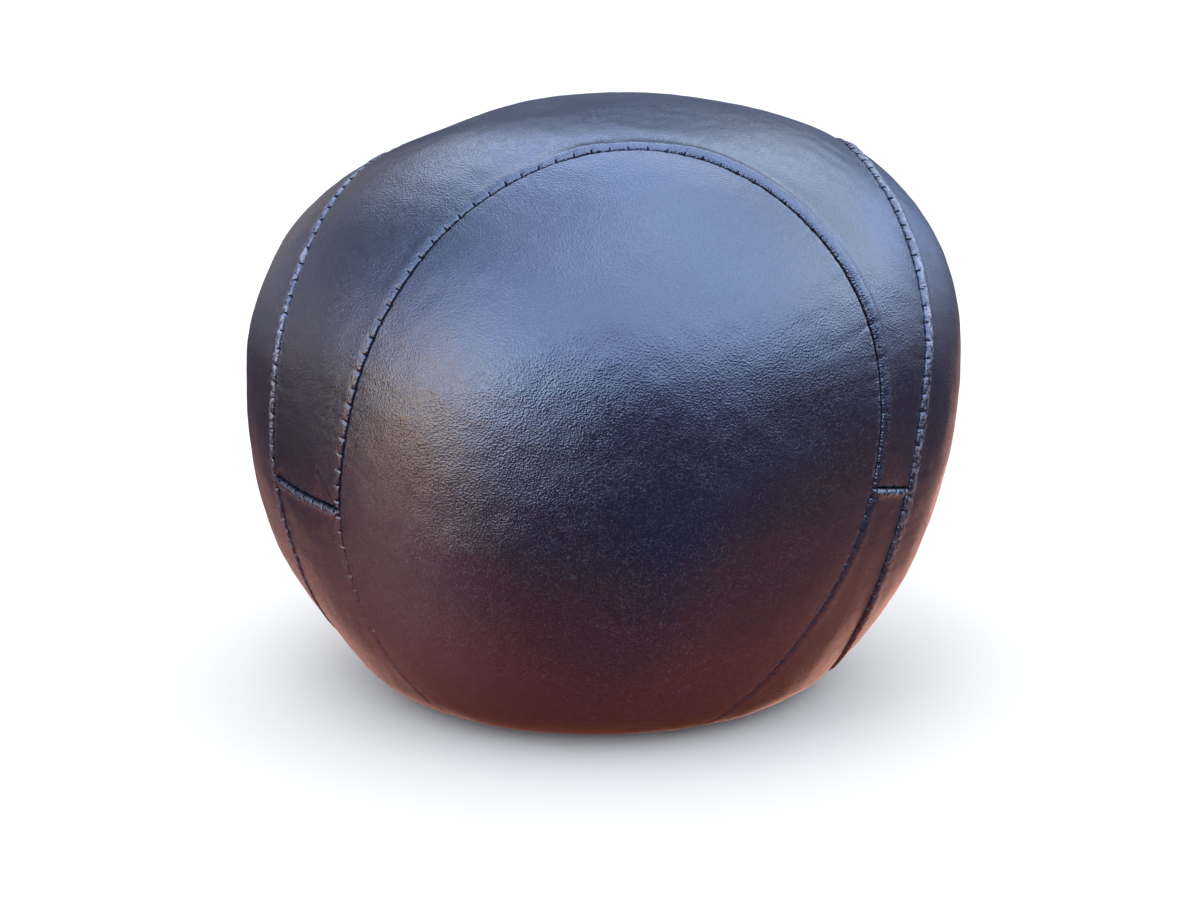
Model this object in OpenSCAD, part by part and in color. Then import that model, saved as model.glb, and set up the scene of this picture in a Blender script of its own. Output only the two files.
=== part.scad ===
// Medicine ball: six hand-sewn leather panels over packed stuffing, with a pouch of sand at the core.
// Four upright oval panels stand round the belt. A four-armed panel closes the top and another the
// base, and their arms meet in four short seams between the ovals. The ball rests on a flattened base,
// +Z is up, the front oval faces -Y, and the origin is at the centre of the base. Sizes are millimetres.

/* [Ball] */
// Width of the ball across its belt
ball_d = 290; // [280:1:320]
// Height of the ball as it rests
ball_h = 240; // [225:1:250]

/* [Leather] */
// Thickness of the leather
leather_t = 2.5; // [2:0.1:3]
// How deep the turned-in edges reach below the surface
flange_depth = 6; // [5:0.5:8]
// Thickness of the cloth that backs each panel
lining_t = 1.2; // [0.8:0.1:1.4]

/* [Seams] */
// How far the sewn pattern leans towards the front
seam_tilt = 8; // [0:1:10]
// Squareness of the ovals, where 2 is an ellipse
oval_power = 2; // [1.9:0.05:2.2]

/* [Stitches] */
// Distance from one stitch to the next
stitch_pitch = 6.5; // [5.5:0.5:9]
// Thickness of the thread
thread_d = 1; // [0.8:0.1:1.2]
// Length of the thread that shows across a seam
stitch_len = 3.4; // [3:0.1:4]

/* [Core] */
// Outer width of the sand pouch
pouch_d = 104; // [80:1:120]
// Thickness of the pouch's canvas
pouch_t = 1.6; // [1:0.1:2]
// Height of the pouch's gathered neck
neck_h = 18; // [16:1:24]

/* [Hidden] */
$fn = 96;

// Colours of the materials
leather_colour = [0.13, 0.14, 0.20];
thread_colour = [0.06, 0.07, 0.12];
lining_colour = [0.80, 0.76, 0.68];
stuffing_colour = [0.58, 0.55, 0.52];
canvas_colour = [0.72, 0.66, 0.52];
sand_colour = [0.76, 0.66, 0.46];
cord_colour = [0.85, 0.82, 0.74];

// The ball's skin: three spheres that cut each other, each [height of its centre, radius], and a flat base
max_r = ball_d / 2;
dome_r = 0.93 * ball_d;
belly = [0.517 * ball_h, max_r];
shoulder = [ball_h - 0.583 * ball_d, 0.617 * ball_d];
dome = [ball_h - dome_r, dome_r];
zones = [belly, shoulder, dome];

// The seams spread from one point on the axis, and their angles are seen from it
hub_z = 0.4625 * ball_h;
oval_sides = 48;
cone_reach = 1.8 * max_r;

// Each oval: direction round the belt, rise of its middle, half-width, half-height, lean, all in degrees
// except lean, which is a slope
front = [1.5, 2.5, 42, 54.5, 0.13];
right = [91.5, 0, 37, 50, 0.06];
back = [172, 0, 37, 53, 0];
left = [-102, 0, 43.5, 52, 0.12];
ovals = [front, right, back, left];

// Widths turned into angles at the belt
function as_angle(width) = width / max_r * 180 / PI;
seam_gap = 0.1;
gap_angle = as_angle(seam_gap / 2);
flange_angle = as_angle(leather_t);
lining_gap_angle = as_angle(leather_t + 0.2);

lining_inset = leather_t + 0.1;
stuffing_inset = max(flange_depth, lining_inset + lining_t) + 0.2;

neck_r = 10;
neck_hole_r = 2.5;
cord_d = 4;

function unit(v) = v / norm(v);
function rot_x(v, a) = [v.x, v.y * cos(a) - v.z * sin(a), v.y * sin(a) + v.z * cos(a)];
function rot_z(v, a) = [v.x * cos(a) - v.y * sin(a), v.x * sin(a) + v.y * cos(a), v.z];

// Direction from the hub to a point of an oval's outline, grown by some degrees; turn runs round it
function oval_dir(oval, turn, grow) =
    let (c = cos(turn), s = sin(turn),
         reach = pow(pow(abs(c), oval_power) + pow(abs(s), oval_power), -1 / oval_power),
         rise = (oval[3] + grow) * s * reach,
         aside = (oval[2] + grow) * c * reach + oval[4] * rise,
         up = rise + oval[1])
    rot_z([sin(aside), -cos(aside) * cos(up), cos(aside) * sin(up)], oval[0]);

function body_dir(dir) = rot_x(dir, seam_tilt);

// Distance from the hub to one sphere of the skin, along a direction
function zone_reach(zone, dir, inset) =
    let (rise = hub_z - zone[0], b = dir.z * rise)
    -b + sqrt(b * b - rise * rise + pow(zone[1] - inset, 2));

// Point of the ball's skin in a direction from the hub, sunk by the inset
function skin_point(dir, inset = 0) =
    [0, 0, hub_z] + dir * min([for (zone = zones) zone_reach(zone, dir, inset)]);

// The way straight out of the skin at a point
function way_out(dir) =
    let (reaches = [for (zone = zones) zone_reach(zone, dir, 0)],
         zone = zones[search(min(reaches), reaches)[0]],
         point = skin_point(dir))
    unit(point - [0, 0, zone[0]]);

module ball_zone(zone, inset) {
    translate([0, 0, zone[0]])
        sphere(r = zone[1] - inset);
}

// The whole ball, with its surface sunk by the inset
module ball_body(inset) {
    intersection() {
        ball_zone(belly, inset);
        ball_zone(shoulder, inset);
        ball_zone(dome, inset);
        translate([-ball_d, -ball_d, inset])
            cube([2 * ball_d, 2 * ball_d, 2 * ball_h]);
    }
}

// Pointed solid from the hub through an oval's outline: it cuts the ball along that seam
module seam_cone(oval, grow) {
    rim = [for (i = [0:oval_sides - 1]) cone_reach * oval_dir(oval, 360 * i / oval_sides, grow)];
    middle = cone_reach * rot_z([0, -cos(oval[1]), sin(oval[1])], oval[0]);
    points = concat([[0, 0, 0], middle], rim);
    sides = [for (i = [0:oval_sides - 1]) [0, 2 + i, 2 + (i + 1) % oval_sides]];
    cap = [for (i = [0:oval_sides - 1]) [1, 2 + (i + 1) % oval_sides, 2 + i]];
    translate([0, 0, hub_z])
        rotate([seam_tilt, 0, 0])
            polyhedron(points, concat(sides, cap));
}

// What is left outside all four ovals, grown by some degrees
module outside_ovals(grow) {
    difference() {
        children();
        seam_cone(front, grow);
        seam_cone(right, grow);
        seam_cone(back, grow);
        seam_cone(left, grow);
    }
}

// Everything above the plane of the four short seams, from a lift upwards; side -1 is below it
module half_space(side, lift) {
    size = 2 * cone_reach;
    translate([0, 0, hub_z])
        rotate([seam_tilt, 0, 0])
            translate([-size / 2, -size / 2, side > 0 ? lift : -size - lift])
                cube(size);
}

// The layer between two depths below the ball's skin
module skin_layer(top, bottom) {
    difference() {
        ball_body(top);
        ball_body(bottom);
    }
}

// A side panel, with its edge turned in all round
module side_panel(oval) {
    color(leather_colour)
        difference() {
            intersection() {
                skin_layer(0, flange_depth);
                seam_cone(oval, -gap_angle);
            }
            intersection() {
                skin_layer(leather_t, flange_depth + 1);
                seam_cone(oval, -flange_angle);
            }
        }
}

// A four-armed layer: what the ovals leave of the upper or the lower half
module star_layer(side, top, bottom, lift, grow) {
    outside_ovals(grow)
        intersection() {
            skin_layer(top, bottom);
            half_space(side, lift);
        }
}

module star_panel(side) {
    color(leather_colour)
        difference() {
            star_layer(side, 0, flange_depth, seam_gap / 2, gap_angle);
            star_layer(side, leather_t, flange_depth + 1, leather_t, flange_angle);
        }
}

// Cloth that backs a side panel, inside its turned-in edge
module side_lining(oval) {
    color(lining_colour)
        intersection() {
            skin_layer(lining_inset, lining_inset + lining_t);
            seam_cone(oval, -lining_gap_angle);
        }
}

module star_lining(side) {
    color(lining_colour)
        star_layer(side, lining_inset, lining_inset + lining_t, leather_t + 0.2, lining_gap_angle);
}

// A stitch: one bar of thread across the seam, lying on the leather
module stitch(point, along, out) {
    across = cross(out, along);
    start = point - across * stitch_len / 2;
    multmatrix([[along.x, out.x, across.x, start.x],
                [along.y, out.y, across.y, start.y],
                [along.z, out.z, across.z, start.z],
                [0, 0, 0, 1]])
        cylinder(d = thread_d, h = stitch_len);
}

// Point of a seam at thread height
thread_inset = -thread_d / 2 - 0.05;
function ring_point(oval, turn) = skin_point(body_dir(oval_dir(oval, turn, 0)), thread_inset);

// Stitches round an oval, evenly spaced along its length. Under the flat base they are pressed into the
// seam, so none is drawn there.
module ring_stitches(oval) {
    steps = 180;
    rim = [for (i = [0:steps]) ring_point(oval, 360 * i / steps)];
    travel = [for (i = 0, s = 0; i <= steps;
                   s = s + (i < steps ? norm(rim[i + 1] - rim[i]) : 0), i = i + 1)
                  [s, 360 * i / steps]];
    count = round(travel[steps][0] / stitch_pitch);
    color(thread_colour)
        for (i = [0:count - 1]) {
            turn = lookup((i + 0.5) / count * travel[steps][0], travel);
            along = unit(ring_point(oval, turn + 0.5) - ring_point(oval, turn - 0.5));
            point = ring_point(oval, turn);
            if (point.z > thread_d)
                stitch(point, along, way_out(body_dir(oval_dir(oval, turn, 0))));
        }
}

// Direction of a short seam's end, where it meets an oval on its right (edge 1) or left (edge -1)
function belt_dir(angle) = [sin(angle), -cos(angle), 0];
function belt_edge(oval, edge) =
    let (rise = -oval[1], reach = sqrt(1 - pow(rise / oval[3], 2)))
    oval[0] + edge * oval[2] * reach + oval[4] * rise;

// Stitches along the short seam between one oval's right edge and the next one's left edge
module join_stitches(from_oval, to_oval) {
    a0 = belt_edge(from_oval, 1);
    end = belt_edge(to_oval, -1);
    a1 = end < a0 ? end + 360 : end;
    length = (a1 - a0) * PI / 180 * max_r;
    count = max(2, round(length / stitch_pitch));
    color(thread_colour)
        for (i = [0:count - 1]) {
            angle = a0 + (a1 - a0) * (i + 0.5) / count;
            dir = body_dir(belt_dir(angle));
            along = unit(skin_point(body_dir(belt_dir(angle + 0.3)))
                         - skin_point(body_dir(belt_dir(angle - 0.3))));
            stitch(skin_point(dir, thread_inset), along, way_out(dir));
        }
}

// Packed stuffing: half of the ball's inside, with a hollow for the pouch and its neck
module stuffing(side) {
    color(stuffing_colour)
        difference() {
            intersection() {
                ball_body(stuffing_inset);
                half_space(side, 0.1);
            }
            translate([0, 0, hub_z]) {
                sphere(d = pouch_d + 1);
                if (side > 0)
                    cylinder(r = neck_r + cord_d + 1, h = pouch_d / 2 + neck_h + 1);
            }
        }
}

// Canvas pouch: a round bag whose neck is gathered almost shut
module sand_pouch() {
    color(canvas_colour)
        translate([0, 0, hub_z])
            difference() {
                union() {
                    sphere(d = pouch_d);
                    cylinder(r = neck_r, h = pouch_d / 2 + neck_h);
                }
                sphere(d = pouch_d - 2 * pouch_t);
                cylinder(r = neck_hole_r, h = pouch_d / 2 + neck_h + 1);
            }
}

module sand_fill() {
    color(sand_colour)
        translate([0, 0, hub_z])
            sphere(d = pouch_d - 2 * pouch_t - 0.4);
}

// Cord knotted round the pouch's neck
module pouch_tie() {
    color(cord_colour)
        translate([0, 0, hub_z + pouch_d / 2 + neck_h / 2])
            rotate_extrude()
                translate([neck_r + cord_d / 2 + 0.05, 0])
                    circle(d = cord_d);
}

side_panel(front);  // front_panel
side_panel(right);  // right_panel
side_panel(back);  // back_panel
side_panel(left);  // left_panel
star_panel(1);  // top_panel
star_panel(-1);  // base_panel
side_lining(front);  // front_lining
side_lining(right);  // right_lining
side_lining(back);  // back_lining
side_lining(left);  // left_lining
star_lining(1);  // top_lining
star_lining(-1);  // base_lining
ring_stitches(front);  // front_stitches
ring_stitches(right);  // right_stitches
ring_stitches(back);  // back_stitches
ring_stitches(left);  // left_stitches
join_stitches(front, right);  // front_right_join_stitches
join_stitches(right, back);  // back_right_join_stitches
join_stitches(back, left);  // back_left_join_stitches
join_stitches(left, front);  // front_left_join_stitches
stuffing(1);  // stuffing_upper
stuffing(-1);  // stuffing_lower
sand_pouch();
sand_fill();
pouch_tie();
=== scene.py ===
import math
from types import SimpleNamespace

import bpy
import numpy as np
from mathutils import Matrix, Vector
from mathutils.geometry import delaunay_2d_cdt
from mathutils.kdtree import KDTree


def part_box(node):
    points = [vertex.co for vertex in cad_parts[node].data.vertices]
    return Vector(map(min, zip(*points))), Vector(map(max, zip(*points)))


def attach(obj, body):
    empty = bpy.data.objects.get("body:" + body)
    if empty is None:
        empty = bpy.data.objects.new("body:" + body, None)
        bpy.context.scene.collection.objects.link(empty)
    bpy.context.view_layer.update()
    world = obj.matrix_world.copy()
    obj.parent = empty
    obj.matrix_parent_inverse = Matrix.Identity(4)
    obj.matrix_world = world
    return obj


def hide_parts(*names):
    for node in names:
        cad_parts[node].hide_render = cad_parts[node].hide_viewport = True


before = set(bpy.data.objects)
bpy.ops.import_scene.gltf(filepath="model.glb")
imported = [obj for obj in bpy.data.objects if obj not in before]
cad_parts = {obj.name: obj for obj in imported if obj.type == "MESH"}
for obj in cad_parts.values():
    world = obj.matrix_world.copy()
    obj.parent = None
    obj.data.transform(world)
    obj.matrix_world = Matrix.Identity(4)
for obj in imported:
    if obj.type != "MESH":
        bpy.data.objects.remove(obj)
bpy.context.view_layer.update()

MM = 0.001
BALL_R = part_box("right_panel")[1].x
BALL_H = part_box("top_panel")[1].z

# ---------------------------------------------------------------------------------------------------
# Shape of the ball's skin: four arcs turned about the axis, then pressed in where it has gone slack
# ---------------------------------------------------------------------------------------------------

HUB = np.array([0, 0, 0.4625 * BALL_H])

DOME_R = 1.86 * BALL_R
SHOULDER_R = 0.628 * BALL_R
BELLY_R = 1.428 * BALL_R
FOOT_R = 0.248 * BALL_R
DOME_ANGLE = math.asin((BALL_R - SHOULDER_R) / (DOME_R - SHOULDER_R))
DOME_C = np.array([0, BALL_H - DOME_R])
SHOULDER_C = DOME_C + (DOME_R - SHOULDER_R) * np.array([math.sin(DOME_ANGLE), math.cos(DOME_ANGLE)])
BELLY_C = np.array([BALL_R - BELLY_R, SHOULDER_C[1]])
BELLY_ANGLE = math.asin((BELLY_C[1] - FOOT_R) / (BELLY_R - FOOT_R))
FOOT_C = BELLY_C + (BELLY_R - FOOT_R) * np.array([math.cos(BELLY_ANGLE), -math.sin(BELLY_ANGLE)])

# Slack places, and full ones with a negative depth: direction round the belt, height above the hub's
# level, depth in millimetres, reach in degrees
DENTS = [
    (-88, 46, 10.4, 28),
    (-90, 17, 5.4, 15),
    (-91, -22, -4.6, 16),
    (90, -26, -4.6, 26),
    (-60, -62, -2.0, 12),
]


def unit(v):
    return v / np.linalg.norm(v, axis=-1, keepdims=True)


def bearing(azimuth, elevation):
    """Unit direction from the hub; azimuth 0 faces the front, -Y, and grows towards +X. In degrees."""
    a, e = np.radians(azimuth), np.radians(elevation)
    return np.stack(np.broadcast_arrays(np.sin(a) * np.cos(e), -np.cos(a) * np.cos(e), np.sin(e)), -1)


def arc_reach(centre, radius, out, up):
    """Distance from the hub to one arc of the profile."""
    x, z = -centre[0], HUB[2] - centre[1]
    b = out * x + up * z
    return -b + np.sqrt(np.maximum(b * b - x * x - z * z + radius * radius, 0))


def end_elevation(x, z):
    return math.atan2(z - HUB[2], x)


DOME_END = end_elevation(*(DOME_C + DOME_R * np.array([math.sin(DOME_ANGLE), math.cos(DOME_ANGLE)])))
SHOULDER_END = end_elevation(SHOULDER_C[0] + SHOULDER_R, SHOULDER_C[1])
BELLY_END = end_elevation(*(BELLY_C + BELLY_R * np.array([math.cos(BELLY_ANGLE), -math.sin(BELLY_ANGLE)])))
FOOT_END = end_elevation(FOOT_C[0], 0)


def skin(dirs):
    """Points of the smooth skin in some directions from the hub."""
    out, up = np.hypot(dirs[:, 0], dirs[:, 1]), dirs[:, 2]
    elevation = np.arctan2(up, out)
    reach = np.select(
        [elevation > DOME_END, elevation > SHOULDER_END, elevation > BELLY_END, elevation > FOOT_END],
        [
            arc_reach(DOME_C, DOME_R, out, up),
            arc_reach(SHOULDER_C, SHOULDER_R, out, up),
            arc_reach(BELLY_C, BELLY_R, out, up),
            arc_reach(FOOT_C, FOOT_R, out, up),
        ],
        HUB[2] / np.maximum(-up, 1e-6),
    )
    for azimuth, height, depth, spread in DENTS:
        angle = np.degrees(np.arccos(np.clip(dirs @ bearing(azimuth, height), -1, 1)))
        reach = reach - depth * MM * np.exp(-((angle / spread) ** 2))
    return HUB + dirs * reach[:, None]


def skin_frame(dirs):
    """Points of the skin and the way straight out of it."""
    side = unit(np.cross(dirs, [0.02, 0.03, 1.0]))
    rise = np.cross(side, dirs)
    step = 0.004
    points = skin(dirs)
    along = skin(unit(dirs + step * side)) - skin(unit(dirs - step * side))
    above = skin(unit(dirs + step * rise)) - skin(unit(dirs - step * rise))
    normals = unit(np.cross(above, along))
    facing = np.sign(np.sum(normals * dirs, axis=1, keepdims=True))
    return points, normals * facing


# ---------------------------------------------------------------------------------------------------
# Seams: four oval rings round the side panels and four short joins between them
# ---------------------------------------------------------------------------------------------------

STITCH_PITCH = 6.5 * MM
COLUMNS = 12  # mesh columns from one stitch to the next
PATTERN = np.array(
    Matrix.Rotation(math.radians(1.5), 3, "Z")
    @ Matrix.Rotation(math.radians(8.3), 3, "X")
    @ Matrix.Rotation(math.radians(1.0), 3, "Y")
)


def oval(azimuth, width, up, down, lean, power, bow=0.0):
    """A side panel's outline: direction round the belt, then half-width and heights in degrees."""
    return SimpleNamespace(azimuth=azimuth, width=width, up=up, down=down, lean=lean, power=power, bow=bow)


OVALS = {
    "front": oval(0, 42.1, 56.9, 52.3, 0.13, 1.9, -0.3),
    "right": oval(90, 36.8, 50, 50, 0.06, 2.17),
    "back": oval(170.5, 36.8, 53, 53, 0, 2.0),
    "left": oval(-103.4, 43.4, 52, 52, 0.12, 2.5),
}
ORDER = list(OVALS)
# The two ovals that each short join runs between, and the height of its two ends on the pattern's belt in
# degrees
JOINS = {
    "front_right": ("front", "right", 2.8, -0.3),
    "back_right": ("right", "back", 0.0, 0.0),
    "back_left": ("back", "left", 0.0, 0.0),
    "front_left": ("left", "front", -1.7, -1.7),
}


def oval_angles(shape, turn):
    """Sideways and upward angle of an oval's outline, from its middle; turn runs anticlockwise."""
    c, s = np.cos(turn), np.sin(turn)
    reach = (np.abs(c) ** shape.power + np.abs(s) ** shape.power) ** (-1 / shape.power)
    up = np.where(s >= 0, shape.up, shape.down) * s * reach
    aside = shape.width * c * reach + shape.lean * up + shape.bow * (up / 60) ** 2 * 10
    return aside, up


def pattern_bearing(azimuth, aside, up):
    """Direction on the tilted pattern, sideways and up from a place on its belt."""
    a, b = np.radians(aside), np.radians(up)
    local = np.stack(np.broadcast_arrays(np.sin(a), -np.cos(a) * np.cos(b), np.cos(a) * np.sin(b)), -1)
    turn = math.radians(azimuth)
    spin = np.array([[math.cos(turn), -math.sin(turn), 0], [math.sin(turn), math.cos(turn), 0], [0, 0, 1]])
    return local @ spin.T @ PATTERN.T


def even_line(direction_at, closed, least):
    """A seam as evenly spaced directions, with a whole number of stitches along it."""
    t = np.linspace(0, 1, 2401)
    points = skin(direction_at(t))
    travel = np.concatenate([[0], np.cumsum(np.linalg.norm(np.diff(points, axis=0), axis=1))])
    stitches = max(least, round(travel[-1] / STITCH_PITCH))
    count = stitches * COLUMNS
    at = np.interp(np.arange(count if closed else count + 1) / count * travel[-1], travel, t)
    return SimpleNamespace(dirs=unit(direction_at(at)), stitches=stitches, closed=closed, length=travel[-1])


def ring_line(shape):
    def direction_at(t):
        aside, up = oval_angles(shape, 2 * math.pi * t)
        return pattern_bearing(shape.azimuth, aside, up)

    return even_line(direction_at, True, 8)


rings = {name: ring_line(shape) for name, shape in OVALS.items()}


def belt_index(name, side, height):
    """Which sample of a ring crosses a height of the belt, on its right (1) or left (-1) side."""
    turn_side = rings[name].dirs @ pattern_bearing(OVALS[name].azimuth + 90 * side, 0, 0)
    level = rings[name].dirs @ PATTERN[:, 2] - math.sin(math.radians(height))
    return int(np.argmin(np.where(turn_side > 0, np.abs(level), 9)))


def join_line(a, b):
    def direction_at(t):
        return unit(a + np.outer(t, b - a))

    return even_line(direction_at, False, 2)


corners = {}
joins = {}
for join_name, (from_oval, to_oval, start_height, end_height) in JOINS.items():
    start = belt_index(from_oval, 1, start_height)
    end = belt_index(to_oval, -1, end_height)
    corners[from_oval, 1] = start
    corners[to_oval, -1] = end
    joins[join_name] = join_line(rings[from_oval].dirs[start], rings[to_oval].dirs[end])

SEAMS = {**rings, **joins}
SEAM_NAMES = list(SEAMS)


def loop_part(seam, indices):
    """Part of a panel's edge: samples of one seam, in the order that keeps the panel on the left."""
    line = SEAMS[seam]
    return SimpleNamespace(
        dirs=line.dirs[indices],
        seam=np.full(len(indices), SEAM_NAMES.index(seam)),
        phase=np.array(indices) / COLUMNS,
    )


def run_between(count, start, end):
    """Sample numbers of a closed ring from start back to end, against their order."""
    return [(start - i) % count for i in range((start - end) % count + 1)]


def side_loop(name):
    return [loop_part(name, list(range(len(rings[name].dirs))))]


def star_loop(upper):
    """Edge of the top or base panel: past each oval in turn, with the short joins between them."""
    parts = []
    for name in ORDER if upper else ORDER[::-1]:
        count = len(rings[name].dirs)
        left, right = corners[name, -1], corners[name, 1]
        join = next(j for j, ends in JOINS.items() if ends[0 if upper else 1] == name)
        across = list(range(1, len(joins[join].dirs) - 1))
        start, end = (left, right) if upper else (right, left)
        parts.append(loop_part(name, run_between(count, start, end)))
        parts.append(loop_part(join, across if upper else across[::-1]))
    return parts


def joined(parts):
    return SimpleNamespace(
        dirs=np.concatenate([p.dirs for p in parts]),
        seam=np.concatenate([p.seam for p in parts]),
        phase=np.concatenate([p.phase for p in parts]),
    )


# ---------------------------------------------------------------------------------------------------
# Relief: how the leather rolls into the seams, puffs between them and puckers at each stitch
# ---------------------------------------------------------------------------------------------------

SEAM_GAP = 0.2 * MM  # from the seam's middle line to either panel's edge
ROLL_R = 0.9 * MM
PUFF_REACH = 15 * MM  # how far from a seam the stuffing lifts the leather again
FLANGE_DEPTH = 6.5 * MM  # of the edge that is turned in along the seam
LEATHER_T = 2.5 * MM
# Height and length of the stuffing's broad and small lumps, and of the leather's own ripples
BROAD_LUMPS = (0.45 * MM, 62 * MM)
SMALL_LUMPS = (0.12 * MM, 30 * MM)
RIPPLES = (0.06 * MM, 9 * MM)
BITE_WIDTH = 0.65 * MM  # of the dip that a stitch pulls into the edge
CREASE_DEPTH = 0.22 * MM


def waves(points, length, count, seed):
    """A smooth random field from about -1 to 1: plane waves in random directions."""
    rng = np.random.default_rng(seed)
    axes = unit(rng.normal(size=(count, 3)))
    numbers = 2 * math.pi / (length * rng.uniform(0.7, 1.5, count))
    phases = rng.uniform(0, 2 * math.pi, count)
    return np.sin(points @ (axes * numbers[:, None]).T + phases).sum(1) / math.sqrt(count)


def seam_style(sink, ridge, width, pinch, thread, rub):
    return SimpleNamespace(
        sink=sink * MM, ridge=ridge * MM, width=width * MM, pinch=pinch * MM, thread=thread * MM, rub=rub
    )


# How far the edge sinks, how high and wide its rolled ridge is, how deep the thread bites and how far it
# reaches, all in millimetres, and how much it has rubbed pale: for the oval's side of a ring or the upper
# side of a join, then for the other side
STYLES = {
    "front": (seam_style(0.3, 0.10, 1.0, 0.25, 0.7, 0.35), seam_style(0.5, 1.90, 2.6, 0.50, 2.3, 0.10)),
    "right": (seam_style(0.3, 1.20, 2.2, 0.40, 1.5, 1.50), seam_style(0.9, 0.05, 1.2, 0.20, 0.7, 0.20)),
    "back": (seam_style(0.6, 0.30, 1.3, 0.40, 1.4, 0.50), seam_style(0.6, 0.50, 1.6, 0.40, 1.4, 0.50)),
    "left": (seam_style(0.4, 0.50, 1.5, 0.40, 1.4, 1.40), seam_style(0.6, 0.10, 1.2, 0.30, 1.0, 0.30)),
    "front_right": (seam_style(1.4, 0.05, 1.2, 0.30, 0.8, 0.10), seam_style(0.4, 0.50, 1.5, 0.45, 1.3, 0.50)),
    "back_right": (seam_style(1.0, 0.10, 1.2, 0.30, 1.0, 0.20), seam_style(0.6, 0.35, 1.3, 0.40, 1.3, 0.50)),
    "back_left": (seam_style(1.0, 0.10, 1.2, 0.30, 1.0, 0.20), seam_style(0.6, 0.35, 1.3, 0.40, 1.3, 0.50)),
    "front_left": (seam_style(1.6, 0.05, 1.2, 0.30, 0.8, 0.10), seam_style(0.4, 0.50, 1.5, 0.45, 1.3, 0.45)),
}
# Where round a ring its ridge is fullest, in degrees anticlockwise, and how much of it is left opposite
FULLEST = {"front": (48, 0.10), "right": (126, 0.1), "back": (90, 0.5), "left": (45, 0.2)}


def fullness(seam, phase):
    """Share of the ridge's height along a seam."""
    if seam in JOINS:
        return np.ones_like(phase)
    turn, least = FULLEST[seam]
    wave = 0.5 + 0.5 * np.cos(2 * math.pi * phase / SEAMS[seam].stitches - math.radians(turn))
    return least + (1 - least) * wave**4


def edge_side(panel, seam):
    """0 for the oval's side of a ring and the upper side of a join, 1 for the other side."""
    if seam in OVALS:
        return 0 if panel == seam else 1
    return 0 if panel == "top" else 1


def puckers(panel, seam):
    """Depth, length and drift of the fold that runs out from each stitch of one edge."""
    rng = np.random.default_rng(100 + 10 * SEAM_NAMES.index(seam) + edge_side(panel, seam))
    count = SEAMS[seam].stitches + 2
    return rng.uniform(0.1, 1, count) ** 1.6, rng.uniform(5, 20, count) * MM, rng.normal(0, 0.12, count)


def soft_level(points, gap_to_seam, sink):
    """The stuffed form, with no folds: sunk towards the seams and a little lumpy."""
    broad, small = BROAD_LUMPS, SMALL_LUMPS
    lumps = broad[0] * waves(points, broad[1], 14, 5) + small[0] * waves(points, small[1], 14, 6)
    rise = 1 - np.exp(-gap_to_seam / PUFF_REACH)
    return -sink * (1 - rise) + lumps * (0.35 + 0.65 * rise)


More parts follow.
